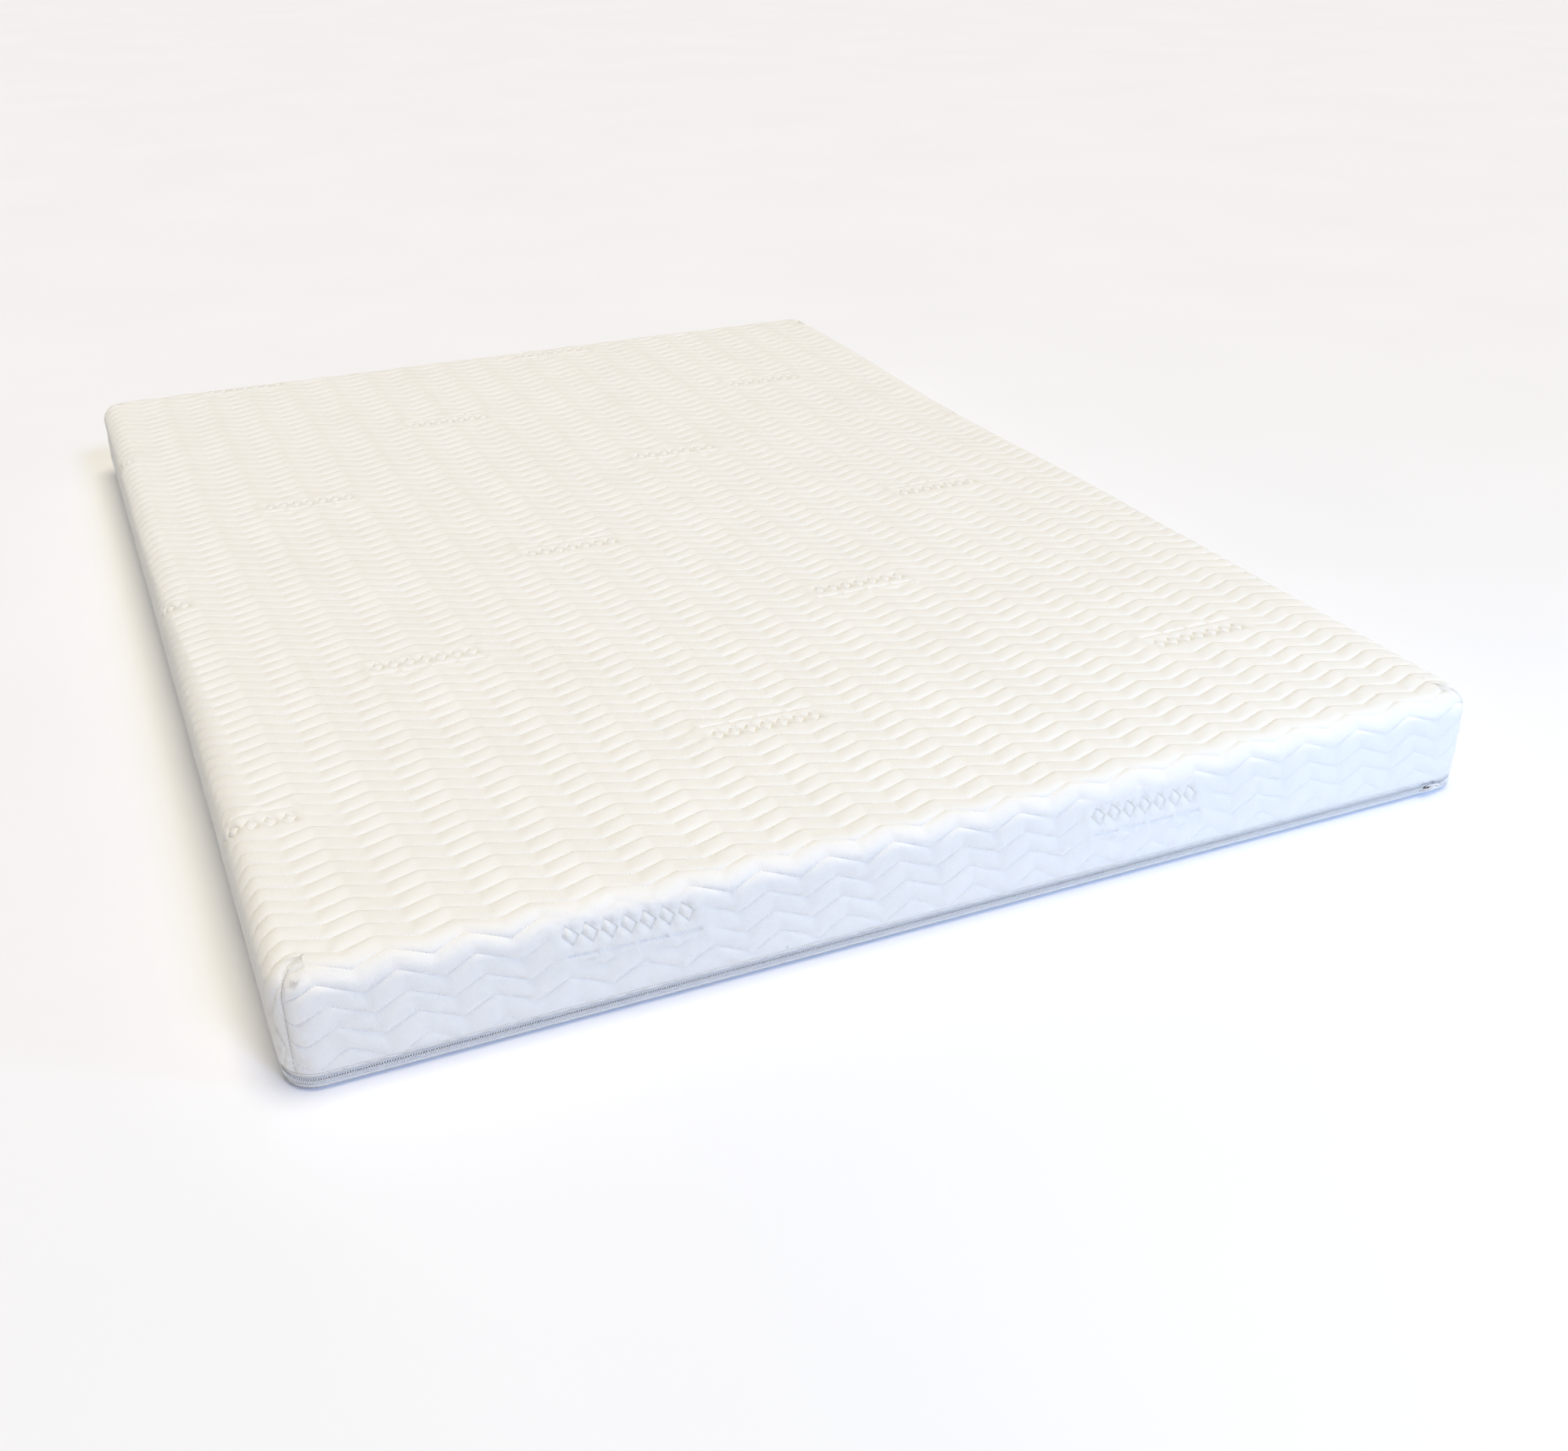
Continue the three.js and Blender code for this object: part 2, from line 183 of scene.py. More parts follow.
def drape(flat, kind):
    """Places and normals of fabric points: kind 0 is the top and its flaps, 1 and 2 are the corner halves."""
    size_u, size_v = np.abs(flat).T
    inset_u, height_u, angle_u = profile(size_u - FLAT_END_X)
    inset_v, height_v, angle_v = profile(size_v - FLAT_END_Y)
    place = np.stack([HALF_WIDTH - inset_u, HALF_LENGTH - inset_v, height_u + height_v - HEIGHT], 1)
    normal = np.stack([np.sin(angle_u), np.sin(angle_v), np.cos(np.maximum(angle_u, angle_v))], 1)
    for which, along, across, inset, height, angle, first in (
        (1, size_u - CORNER_X, 0, inset_v, height_v, angle_v, 1),
        (2, size_v - CORNER_Y, 1, inset_u, height_u, angle_u, 0),
    ):
        pick = kind == which
        turn = along[pick] / CORNER_RADIUS
        radius = CORNER_RADIUS - inset[pick]
        centre = (CORNER_X, CORNER_Y)
        place[pick, across] = centre[across] + radius * np.sin(turn)
        place[pick, first] = centre[first] + radius * np.cos(turn)
        place[pick, 2] = height[pick]
        normal[pick, across] = np.sin(turn) * np.sin(angle[pick])
        normal[pick, first] = np.cos(turn) * np.sin(angle[pick])
        normal[pick, 2] = np.cos(angle[pick])
    place[:, :2] *= np.sign(flat)
    normal[:, :2] *= np.sign(flat)
    return place, normal


def settle(points):
    """How the mattress lies: the right edge drawn in past the middle, and slow waves across the top."""
    x, y, z = points[:, 0], points[:, 1], points[:, 2]
    drawn = np.exp(-(((y - 0.27) / 0.30) ** 2)) * smoothstep(0.25, HALF_WIDTH, x)
    wave = np.sin(3.1 * x + 0.8) * np.sin(2.7 * y - 0.6) + 0.6 * np.sin(5.3 * x - 2.2 * y)
    calm = 1 - smoothstep(HALF_LENGTH - 0.12, HALF_LENGTH, np.abs(y))
    lift = 0.0012 * wave * calm * np.clip(z / HEIGHT, 0, 1)
    return np.stack([x - 0.015 * drawn, y, z + lift], 1)


# The quilting in fabric coordinates.
def eased(value, knots, places, reach):
    """A smooth curve through a few knots: linear steps averaged over a reach on both sides."""
    return sum(np.interp(value + k * reach / 4, knots, places) for k in range(-4, 5)) / 9


def row_place(row):
    """Where a quilting row lies along the mattress: the rows spread a little towards the head end."""
    knots = (-12, 0, 12.5, 25, 37.5, 50, 62.5, 75, 92)
    places = (-1.278, -0.984, -0.678, -0.363, -0.072, 0.250, 0.572, 0.905, 1.354)
    return eased(row, knots, places, 4.0)


def zigzag(u):
    """The zigzag from -1 to 1, with its points slightly rounded."""
    share = np.mod((u - FIRST_PEAK) / PERIOD, 1.0)
    wave = 1 - 4 * np.minimum(share, 1 - share)
    return np.clip(wave, -0.93, 0.93)


def drift(flat):
    """How the fabric was pulled when it was fitted: its columns lean and its rows tilt."""
    u, v = flat[:, 0], flat[:, 1]
    knots = (-1.08, -0.984, -0.925, -0.678, -0.363, -0.072, 0.25, 1.08)
    shifts = (0.078, 0.052, 0.036, 0.017, 0.0, -0.018, -0.032, -0.034)
    lean = eased(v, knots, shifts, 0.03)
    far = smoothstep(0.0, 0.25, v)
    tilt = -0.015 * (1 - far) - 0.034 * far
    sag = 0.030 * (1 - far)
    return np.stack([u + lean, v + tilt * u + sag * u * u], 1)


def motif_centres():
    """Centre and turn of each quilted motif, in rows of eight zigzags, each row half dropped and turned."""
    centres = []
    for step in range(-1, 8):
        v = float(row_place(np.array([step * MOTIF_ROWS / 2]))[0])
        turned = step % 2 == 1
        start = FIRST_PEAK - (MOTIF_COLUMNS // 2 * PERIOD if turned else 0.0)
        for column in range(-2, 3):
            u = start + column * MOTIF_COLUMNS * PERIOD
            if abs(u) < 0.80 and abs(v) < 1.03:
                centres.append((u, v, -1.0 if turned else 1.0))
    return centres


def ridge(share):
    """Height across one quilting row, from 0 in the grooves to 1 on the crest."""
    return np.power(np.clip(4 * share * (1 - share), 0, 1), 0.6)


def grid_quads(index):
    """The quads between a grid of point numbers."""
    return np.stack([index[:-1, :-1], index[:-1, 1:], index[1:, 1:], index[1:, :-1]], 2).reshape(-1, 4)


def ring_quads(rings, sides):
    """The quads between closed rings of points."""
    index = np.arange(rings * sides).reshape(rings, sides)
    return grid_quads(np.column_stack([index, index[:, 0]]))


COLUMN_STEPS = (0, 0.12, 0.5, 0.88)
ROW_STEPS = (0, 0.08, 0.26, 0.5, 0.74, 0.92)


def quilt_grid():
    """The flat zigzag quilting: places, quads, crest heights and groove flags."""
    half = PERIOD / 2
    first = int((-0.90 - FIRST_PEAK) / half)
    last = int((0.86 - FIRST_PEAK) / half)
    columns = np.array([FIRST_PEAK + (i + f) * half for i in range(first, last) for f in COLUMN_STEPS])
    rows = np.array([row + f for row in range(-5, 83) for f in ROW_STEPS])
    base = row_place(rows)
    swing = ZIGZAG + 0.002 * (1 - smoothstep(-0.985, -0.90, base))
    v = base[:, None] + swing[:, None] * zigzag(columns)[None, :]
    u = np.broadcast_to(columns[None, :], v.shape)
    height = np.broadcast_to(ridge(np.mod(rows, 1.0))[:, None], v.shape)
    flat = np.stack([u.ravel(), v.ravel()], 1)
    quads = grid_quads(np.arange(v.size).reshape(v.shape))
    groove = (height.ravel() < 1e-6).astype(np.float32)
    return flat, quads, height.ravel().copy(), groove


def cut(bm, axis, value, test):
    """Cuts the faces that pass the test along a line of constant u (axis 0) or v (axis 1)."""
    faces = [f for f in bm.faces if test(*f.calc_center_median_weighted().xy)]
    edges = {e for f in faces for e in f.edges}
    verts = {v for f in faces for v in f.verts}
    split(bm, faces + list(edges) + list(verts), axis, value)


def motif_lines():
    """Stitched lines of a motif, in its own coordinates: closed loops as (points, height, groove)."""
    loops = []
    for k in range(7):
        middle = (k - 3) * 0.0190
        for scale, height, groove in ((1.0, 1.0, 0), (0.82, 0.05, 1), (0.60, 1.0, 0)):
            corners = [(0.0093, 0.0), (0.0, 0.0132), (-0.0093, 0.0), (0.0, -0.0132)]
            points = []
            for i in range(4):
                (ax, ay), (bx, by) = corners[i], corners[(i + 1) % 4]
                for f in (0.0, 0.5):
                    x = (ax + (bx - ax) * f) * scale
                    y = (ay + (by - ay) * f) * scale
                    points.append((middle + x, 0.0066 + y))
            loops.append((points, height, groove))
    for k in range(4):
        low, high = -0.0660 + k * 0.0346, -0.0378 + k * 0.0346
        for grow, height, groove in ((0.0022, 1.0, 0), (0.0, 0.0, 1)):
            below = [(x, -0.0160 - 0.0005 - grow) for x in np.linspace(low - grow, high + grow, 7).tolist()]
            above = [(x, -0.0160 + 0.0005 + grow) for x in np.linspace(high + grow, low - grow, 7).tolist()]
            loops.append((below + above, height, groove))
    return loops


def split(bm, geom, axis, value):
    """Cuts geometry along a line of constant u (axis 0) or v (axis 1), and returns all of it."""
    place = [0.0, 0.0, 0.0]
    normal = [0.0, 0.0, 0.0]
    place[axis] = value
    normal[axis] = 1.0
    return bmesh.ops.bisect_plane(bm, geom=geom, dist=1e-6, plane_co=place, plane_no=normal)["geom"]


def set_motif(bm, layers, centre, faces):
    """Cuts the zone of one motif out of the zigzag faces round it and fills it with the motif's own faces."""
    u0, v0, turn = centre
    half_u, half_v = MOTIF_HALF
    geom = faces + list({e for f in faces for e in f.edges}) + list({v for f in faces for v in f.verts})
    geom = split(bm, split(bm, geom, 1, v0 - half_v), 1, v0 + half_v)
    zone = [f for f in geom if isinstance(f, bmesh.types.BMFace)
            and abs(f.calc_center_median().x - u0) < half_u and abs(f.calc_center_median().y - v0) < half_v]
    corners = {v for f in zone for v in f.verts}
    bmesh.ops.delete(bm, geom=zone, context="FACES")
    border = [v for v in corners if v.is_valid]
    border.sort(key=lambda v: math.atan2((v.co.y - v0) / half_v, (v.co.x - u0) / half_u))
    points = [v.co.xy.copy() for v in border]
    data = [[v[layer] for layer in layers] for v in border]
    edges = [(i, (i + 1) % len(border)) for i in range(len(border))]
    for loop, height, groove in motif_lines():
        start = len(points)
        points += [Vector((u0 + turn * x, v0 + turn * y)) for x, y in loop]
        data += [(height, groove)] * len(loop)
        edges += [(start + i, start + (i + 1) % len(loop)) for i in range(len(loop))]
    for x in np.arange(-half_u + 0.007, half_u - 0.004, 0.0071):
        points += [Vector((u0 + turn * x, v0 + turn * y)) for y in (-0.0103, -0.0203)]
        data += [(1.0, 0)] * 2
    places, _, faces, sources, _, _ = delaunay_2d_cdt(points, edges, [], 1, 1e-6, True)
    verts = []
    for place, source in zip(places, sources):
        index = source[0] if source else -1
        if 0 <= index < len(border):
            verts.append(border[index])
            continue
        vert = bm.verts.new((place.x, place.y, 0.0))
        for layer, value in zip(layers, data[index] if index >= 0 else (0.9, 0)):
            vert[layer] = value
        verts.append(vert)
    for face in faces:
        made = bm.faces.new([verts[i] for i in face])
        made.normal_update()
        if made.normal.z < 0:
            made.normal_flip()


def set_attribute(mesh, name, values):
    """Gives each point of a mesh a number."""
    mesh.attributes.new(name, "FLOAT", "POINT").data.foreach_set("value", values.astype(np.float32))


def quilt_flat():
    """The whole flat quilt as a bmesh, with the motifs set in."""
    flat, quads, height, groove = quilt_grid()
    centres = motif_centres()
    fade = np.ones(len(flat))
    for u0, v0, _ in centres:
        for edge in (v0 - MOTIF_HALF[1], v0 + MOTIF_HALF[1]):
            snap = (np.abs(flat[:, 0] - u0) < MOTIF_HALF[0] + 1e-5) & (np.abs(flat[:, 1] - edge) < 0.0012)
            flat[snap, 1] = edge
        out_u = np.maximum(np.abs(flat[:, 0] - u0) - MOTIF_HALF[0], 0)
        out_v = np.maximum(np.abs(flat[:, 1] - v0) - MOTIF_HALF[1], 0)
        fade = np.minimum(fade, smoothstep(0.0, 0.007, np.hypot(out_u, out_v)))
    height = 1 - (1 - height) * fade
    groove = groove * (fade > 0.5)
    mesh = bpy.data.meshes.new("quilt_flat")
    mesh.from_pydata(np.column_stack([flat, np.zeros(len(flat))]), [], quads.tolist())
    set_attribute(mesh, "height", height)
    set_attribute(mesh, "groove", groove)
    bm = bmesh.new()
    bm.from_mesh(mesh)
    bpy.data.meshes.remove(mesh)
    bm.faces.ensure_lookup_table()
    layers = (bm.verts.layers.float["height"], bm.verts.layers.float["groove"])
    middle = flat[quads].mean(axis=1)
    around = []
    for u0, v0, _ in centres:
        near_u = np.abs(middle[:, 0] - u0) < MOTIF_HALF[0]
        near_v = np.abs(middle[:, 1] - v0) < MOTIF_HALF[1] + 0.012
        around.append([bm.faces[i] for i in np.nonzero(near_u & near_v)[0]])
    for centre, faces in zip(centres, around):
        set_motif(bm, layers, centre, faces)
    return bm


def near_corner(u, v):
    """Whether a place in the fabric is at one of the four corners."""
    return abs(u) > CORNER_X - 0.02 and abs(v) > CORNER_Y - 0.02


def trim(bm):
    """Cuts the flat fabric to the mattress: fine lines at the hem and the corners, and nothing outside."""
    reach_u = FLAT_END_X + COVER_END
    reach_v = FLAT_END_Y + COVER_END
    for sign in (-1, 1):
        for t in (HEM_SEAM - 0.0035, HEM_SEAM, HEM, HEM + FOLD_ARC, COVER_END):
            cut(bm, 0, sign * (FLAT_END_X + t), lambda u, v: sign * u > FLAT_END_X + 0.08)
            cut(bm, 1, sign * (FLAT_END_Y + t), lambda u, v: sign * v > FLAT_END_Y + 0.08)
    outside = [f for f in bm.faces
               if abs(f.calc_center_median().x) > reach_u or abs(f.calc_center_median().y) > reach_v]
    bmesh.ops.delete(bm, geom=outside, context="FACES")
    for sign in (-1, 1):
        for step in (0.0, SEAM_REACH / 2, SEAM_REACH - 0.006, SEAM_REACH - 0.0025, SEAM_REACH):
            cut(bm, 0, sign * (CORNER_X + step), near_corner)
            cut(bm, 1, sign * (CORNER_Y + step), near_corner)


def cover_mesh():
    """The cover's flat outer fabric: places, kinds, faces, fabric places, crest heights and groove flags."""
    bm = quilt_flat()
    fabric_layer = bm.verts.layers.float_vector.new("fabric")
    flat = np.array([v.co.xy[:] for v in bm.verts])
    pulled = drift(flat)
    for vert, (u, v), (x, y) in zip(bm.verts, flat.tolist(), pulled.tolist()):
        vert[fabric_layer] = (u, v, 0.0)
        vert.co.x = x
        vert.co.y = y
    trim(bm)
    uneven = [f for f in bm.faces if len(f.verts) > 4 or near_corner(*f.calc_center_median().xy)]
    bmesh.ops.triangulate(bm, faces=uneven)
    bm.verts.index_update()
    layers = (bm.verts.layers.float["height"], bm.verts.layers.float["groove"])
    flat = np.array([v.co.xy[:] for v in bm.verts])
    fabric = np.array([v[fabric_layer][:2] for v in bm.verts])
    height = np.array([v[layers[0]] for v in bm.verts])
    groove = np.array([v[layers[1]] for v in bm.verts])
    faces = [[v.index for v in f.verts] for f in bm.faces]
    bm.free()
    index, kind, faces = split_corners(flat, faces)
    return flat[index], kind, faces, fabric[index], height[index], groove[index]


def split_corners(flat, faces):
    """Gives each face its kind: 0 top and straight flaps, 1 and 2 the halves of a corner, none outside."""
    keys = {}
    kept = []
    size = np.abs(flat)
    for face in faces:
        u, v = size[face].mean(axis=0)
        kinds = []
        if u <= CORNER_X or v <= CORNER_Y:
            kinds.append(0)
        else:
            if u <= CORNER_X + SEAM_REACH:
                kinds.append(1)
            if v <= CORNER_Y + SEAM_REACH:
                kinds.append(2)
        for kind in kinds:
            edge = (math.inf, CORNER_X, CORNER_Y)[kind]
            corners = []
            for i in face:
                shared = kind == 0 or size[i, kind - 1] <= edge + 1e-6
                corners.append(keys.setdefault((i, 0 if shared else kind), len(keys)))
            kept.append(corners)
    return np.array([i for i, _ in keys]), np.array([k for _, k in keys]), kept


def seam_distance(flat, kind):
    """Distance along the fabric to the upright corner seam, far away for points outside the corners."""
    gap = np.full(len(flat), 1.0)
    gap[kind == 1] = CORNER_X + SEAM_REACH - np.abs(flat[kind == 1, 0])
    gap[kind == 2] = CORNER_Y + SEAM_REACH - np.abs(flat[kind == 2, 1])
    return np.clip(gap, 0, None)


def flap_length(flat, kind):
    """How far a point lies past the flat top, along its own flap."""
    along_u = np.abs(flat[:, 0]) - FLAT_END_X
    along_v = np.abs(flat[:, 1]) - FLAT_END_Y
    return np.where(kind == 1, along_v, np.where(kind == 2, along_u, np.maximum(along_u, along_v)))


def puff(places, faces, held, limit):
    """Cloth simulation: the fabric between its stitched lines is blown up by the wadding under it."""
    mesh = bpy.data.meshes.new("puff")
    mesh.from_pydata(places.tolist(), [], faces)
    cloth = bpy.data.objects.new("puff", mesh)
    bpy.context.collection.objects.link(cloth)
    group = cloth.vertex_groups.new(name="held")
    group.add([int(i) for i in np.nonzero(held)[0]], 1.0, "REPLACE")
    modifier = cloth.modifiers.new("Cloth", "CLOTH")
    settings = modifier.settings
    settings.quality = 4
    settings.mass = 0.15
    settings.tension_stiffness = 12
    settings.compression_stiffness = 12
    settings.shear_stiffness = 6
    settings.bending_stiffness = 0.4
    settings.shrink_min = -0.010
    settings.vertex_group_mass = "held"
    settings.use_pressure = True
    settings.uniform_pressure_force = 4.0
    settings.effector_weights.gravity = 0.0
    modifier.collision_settings.use_collision = False
    modifier.point_cache.frame_start = 1
    modifier.point_cache.frame_end = CLOTH_FRAMES
    scene = bpy.context.scene
    for step in range(1, CLOTH_FRAMES + 1):
        scene.frame_set(step)
    result = cloth.evaluated_get(bpy.context.evaluated_depsgraph_get()).data
    blown = np.empty(len(places) * 3, np.float32)
    result.vertices.foreach_get("co", blown)
    bpy.data.objects.remove(cloth)
    bpy.data.meshes.remove(mesh)
    scene.frame_set(1)
    move = blown.reshape(-1, 3).astype(float) - places
    size = np.linalg.norm(move, axis=1, keepdims=True)
    return places + move * np.minimum(1, limit / np.maximum(size, 1e-9))


def weld(places, faces, extras, reach):
    """Joins points closer than reach in every column, and drops the faces that vanish."""
    key = np.round(places / reach).astype(np.int64)
    _, first, inverse = np.unique(key, axis=0, return_index=True, return_inverse=True)
    inverse = inverse.ravel()
    kept = []
    for face in faces:
        corners = [int(inverse[i]) for i in face]
        corners = [c for k, c in enumerate(corners) if c != corners[k - 1]]
        if len(set(corners)) == len(corners) and len(corners) > 2:
            kept.append(corners)
    return places[first], kept, [e[first] for e in extras]


def make_cover():
    """The quilted cover: draped, pressed in along its stitching, and blown up."""
    flat, kind, faces, fabric, height, groove = cover_mesh()
    places, normals = drape(flat, kind)
    gap = seam_distance(flat, kind)
    along = flap_length(flat, kind)
    side = np.where(along > TOP_RADIUS - CORNER_RADIUS + WELD_REACH, kind, 0)
    places, faces, (normals, fabric, height, groove, gap, along) = weld(
        np.column_stack([places, side]), faces, (normals, fabric, height, groove, gap, along), WELD_REACH)
    places = places[:, :3]
    narrowing = 1 - profile(along)[0] / CORNER_RADIUS
    near_seam = np.where(gap < 0.5, np.exp(-((gap * narrowing / 0.0030) ** 2)), 0)
    seam_dip = near_seam * smoothstep(0.0, 0.016, along)
    seam_dip *= 1 - smoothstep(HEM_SEAM - 0.004, HEM_SEAM + 0.002, along)
    hem_dip = np.exp(-(((along - HEM_SEAM) / 0.0017) ** 2))
    quilted = 1 - smoothstep(HEM_SEAM - 0.006, HEM_SEAM, along)
    beside = np.abs(places[:, :2]) - (CORNER_X, CORNER_Y)
    quilted *= smoothstep(0.003, 0.014, np.hypot(beside[:, 0], beside[:, 1]))
    wave = np.sin(31 * fabric[:, 0] + 3 * np.sin(17 * fabric[:, 1])) * np.sin(23 * fabric[:, 1] + 1.3)
    lift = -GROOVE_DEPTH * (1 - height * (1 + 0.10 * wave)) * quilted * (1 - near_seam)
    lift -= HEM_DIP * hem_dip + SEAM_DEPTH * seam_dip
    places = places + normals * lift[:, None]
    groove = np.where(along > HEM_SEAM - 0.002, 0.0, groove)
    crest = np.where(along > HEM_SEAM - 0.002, 1.0, height)
    held = (groove > 0.98) | (along > HEM_SEAM - 0.001) | (gap < 0.0008)
    places = puff(places, faces, held, 0.0015)
    from_label = np.abs(places[:, [0, 2]] - LABEL[:2])
    under = (places[:, 1] > 0.93) & (from_label < np.array(LABEL[2:]) / 2 + LABEL_MARGIN).all(axis=1)
    places[under, 1] = np.minimum(places[under, 1], HALF_LENGTH - 0.0002)
    return places, faces, fabric, groove, crest


def mesh_object(name, places, faces):
    """A mesh object, smooth shaded, linked to the scene."""
    mesh = bpy.data.meshes.new(name)
    mesh.from_pydata(np.asarray(places).tolist(), [], [list(f) for f in faces])
    mesh.update()
    mesh.shade_smooth()
    made = bpy.data.objects.new(name, mesh)
    bpy.context.collection.objects.link(made)
    return made


def make_lining():
    """The cover's backing, one quilt thickness inside, facing the foam."""
    def lines(flat_end, corner):
        flat_part = np.linspace(0, corner, 28).tolist()
        edge = [corner + SEAM_REACH * f for f in (0.25, 0.5, 0.75, 1.0)] + [flat_end]
        flap = [flat_end + t for t in (*np.linspace(0, BEND, 6)[2:], 0.07, TUCK_START, HEM_SEAM)]
        half = sorted(set(np.round(flat_part + edge + flap, 6).tolist()))
        return np.array([-v for v in reversed(half[1:])] + half)

    us, vs = lines(FLAT_END_X, CORNER_X), lines(FLAT_END_Y, CORNER_Y)
    flat = np.stack(np.meshgrid(us, vs), 2).reshape(-1, 2)
    quads = grid_quads(np.arange(len(flat)).reshape(len(vs), len(us)))[:, [0, 3, 2, 1]]
    index, kind, faces = split_corners(flat, quads.tolist())
    places, normals = drape(flat[index], kind)
    places, faces, (flat,) = weld(places - normals * QUILT_THICKNESS, faces, (flat[index],), WELD_REACH)
    return places, faces, flat


def finish_cover(material, lining):
    """The cover object, with creased stitching lines, its backing, and fabric coordinates as a UV map."""
    places, faces, fabric, groove, crest = make_cover()
    inner_places, inner_faces, inner_flat = make_lining()
    outer_faces = len(faces)
    faces = faces + [[i + len(places) for i in f] for f in inner_faces]
    places = np.concatenate([places, inner_places])
    fabric = np.concatenate([fabric, inner_flat])
    groove = np.concatenate([groove, np.zeros(len(inner_places))])
    crest = np.concatenate([crest, np.ones(len(inner_places))])
    cover = mesh_object("quilted_cover", settle(places), faces)
    mesh = cover.data
    ends = np.empty(len(mesh.edges) * 2, np.int32)
    mesh.edges.foreach_get("vertices", ends)
    ends = ends.reshape(-1, 2)
    sharp = (groove[ends] > 0.98).all(axis=1)
    attribute = mesh.attributes.new("sharp_edge", "BOOLEAN", "EDGE")
    attribute.data.foreach_set("value", sharp)
    set_attribute(mesh, "crest", crest)
    corner = np.empty(len(mesh.loops), np.int32)
    mesh.loops.foreach_get("vertex_index", corner)
    layer = mesh.uv_layers.new(name="fabric")
    layer.data.foreach_set("uv", (fabric[corner] + 1.2).astype(np.float32).ravel())
    mesh.materials.append(material)
    mesh.materials.append(lining)
    part = np.zeros(len(faces), np.int32)
    part[outer_faces:] = 1
    mesh.polygons.foreach_set("material_index", part)
    return cover


# Materials. Each one is built from nodes on the fabric's own coordinates or the object's.
def link(tree, value, socket):
    """Feeds a socket from another socket, or sets it to a number."""
    if isinstance(value, bpy.types.NodeSocket):
        tree.links.new(value, socket)
    else:
        socket.default_value = value


def calc(tree, operation, first, second=0.0):
    """A math node's result."""
    node = tree.nodes.new("ShaderNodeMath")
    node.operation = operation
    link(tree, first, node.inputs[0])
    link(tree, second, node.inputs[1])
    return node.outputs[0]


def mix(tree, first, first_share, second, second_share):
    """Two values added up by their shares."""
    weighted = calc(tree, "MULTIPLY", first, first_share), calc(tree, "MULTIPLY", second, second_share)
    return calc(tree, "ADD", *weighted)


def waves(tree, value, period):
    """A sine of a value, one wave each period."""
    return calc(tree, "SINE", calc(tree, "MULTIPLY", value, 2 * math.pi / period))


def noise(tree, place, scale, detail=2.0, roughness=0.5):
    """A noise texture's value at a place."""
    node = tree.nodes.new("ShaderNodeTexNoise")
    link(tree, place, node.inputs["Vector"])
    node.inputs["Scale"].default_value = scale
    node.inputs["Detail"].default_value = detail
    node.inputs["Roughness"].default_value = roughness
    return node.outputs["Fac"]


def cells(tree, place, size):
    """Distance to the middle of the nearest Voronoi cell of a size in metres."""
    node = tree.nodes.new("ShaderNodeTexVoronoi")
    link(tree, place, node.inputs["Vector"])
    node.inputs["Scale"].default_value = 1.0 / size
    return node.outputs["Distance"]


def ramp(tree, value, low, high, socket):
    """Feeds a socket from a ramp between two ends, each a (value, colour)."""
    node = tree.nodes.new("ShaderNodeValToRGB")
    link(tree, value, node.inputs["Fac"])
    for element, (position, colour) in zip(node.color_ramp.elements, (low, high)):
        element.position = position
        element.color = (*colour, 1.0)
    tree.links.new(node.outputs["Color"], socket)


def bump(tree, shader, *layers):
    """Stacks bump layers of (height, distance in metres) onto a shader."""
    previous = None
    for height, distance in layers:
        node = tree.nodes.new("ShaderNodeBump")
        node.inputs["Distance"].default_value = distance
        node.inputs["Strength"].default_value = 1.0
        link(tree, height, node.inputs["Height"])
        if previous is not None:
            tree.links.new(previous, node.inputs["Normal"])
        previous = node.outputs["Normal"]
    tree.links.new(previous, shader.inputs["Normal"])


def new_material(name, settings):
    """A principled material with constants set on the shader's own sockets, its node tree and its shader."""
    material = bpy.data.materials.new(name)
    material.use_nodes = True
    shader = material.node_tree.nodes["Principled BSDF"]
    for key, value in settings.items():
        shader.inputs[key].default_value = value
    return material, material.node_tree, shader


def uv_place(tree, name):
    """A UV map's coordinates."""
    node = tree.nodes.new("ShaderNodeUVMap")
    node.uv_map = name
    return node.outputs["UV"]


def object_place(tree):
    """The object's coordinates in metres."""
    return tree.nodes.new("ShaderNodeTexCoord").outputs["Object"]


def axes(tree, place):
    """The three parts of a vector."""
    node = tree.nodes.new("ShaderNodeSeparateXYZ")
    tree.links.new(place, node.inputs[0])
    return node.outputs


def knit_height(tree, place, wale, course):
    """Height of a fine jersey knit: upright wales of V-shaped loops."""
    u, v, _ = axes(tree, place)
    across = calc(tree, "FRACT", calc(tree, "DIVIDE", u, wale))
    side = calc(tree, "ABSOLUTE", calc(tree, "SUBTRACT", across, 0.5))
    rib = calc(tree, "COSINE", calc(tree, "MULTIPLY", side, 2 * math.pi))
    slant = calc(tree, "ADD", calc(tree, "DIVIDE", v, course), calc(tree, "MULTIPLY", side, 1.4))
    return mix(tree, rib, 0.6, waves(tree, slant, 1.0), 0.4)


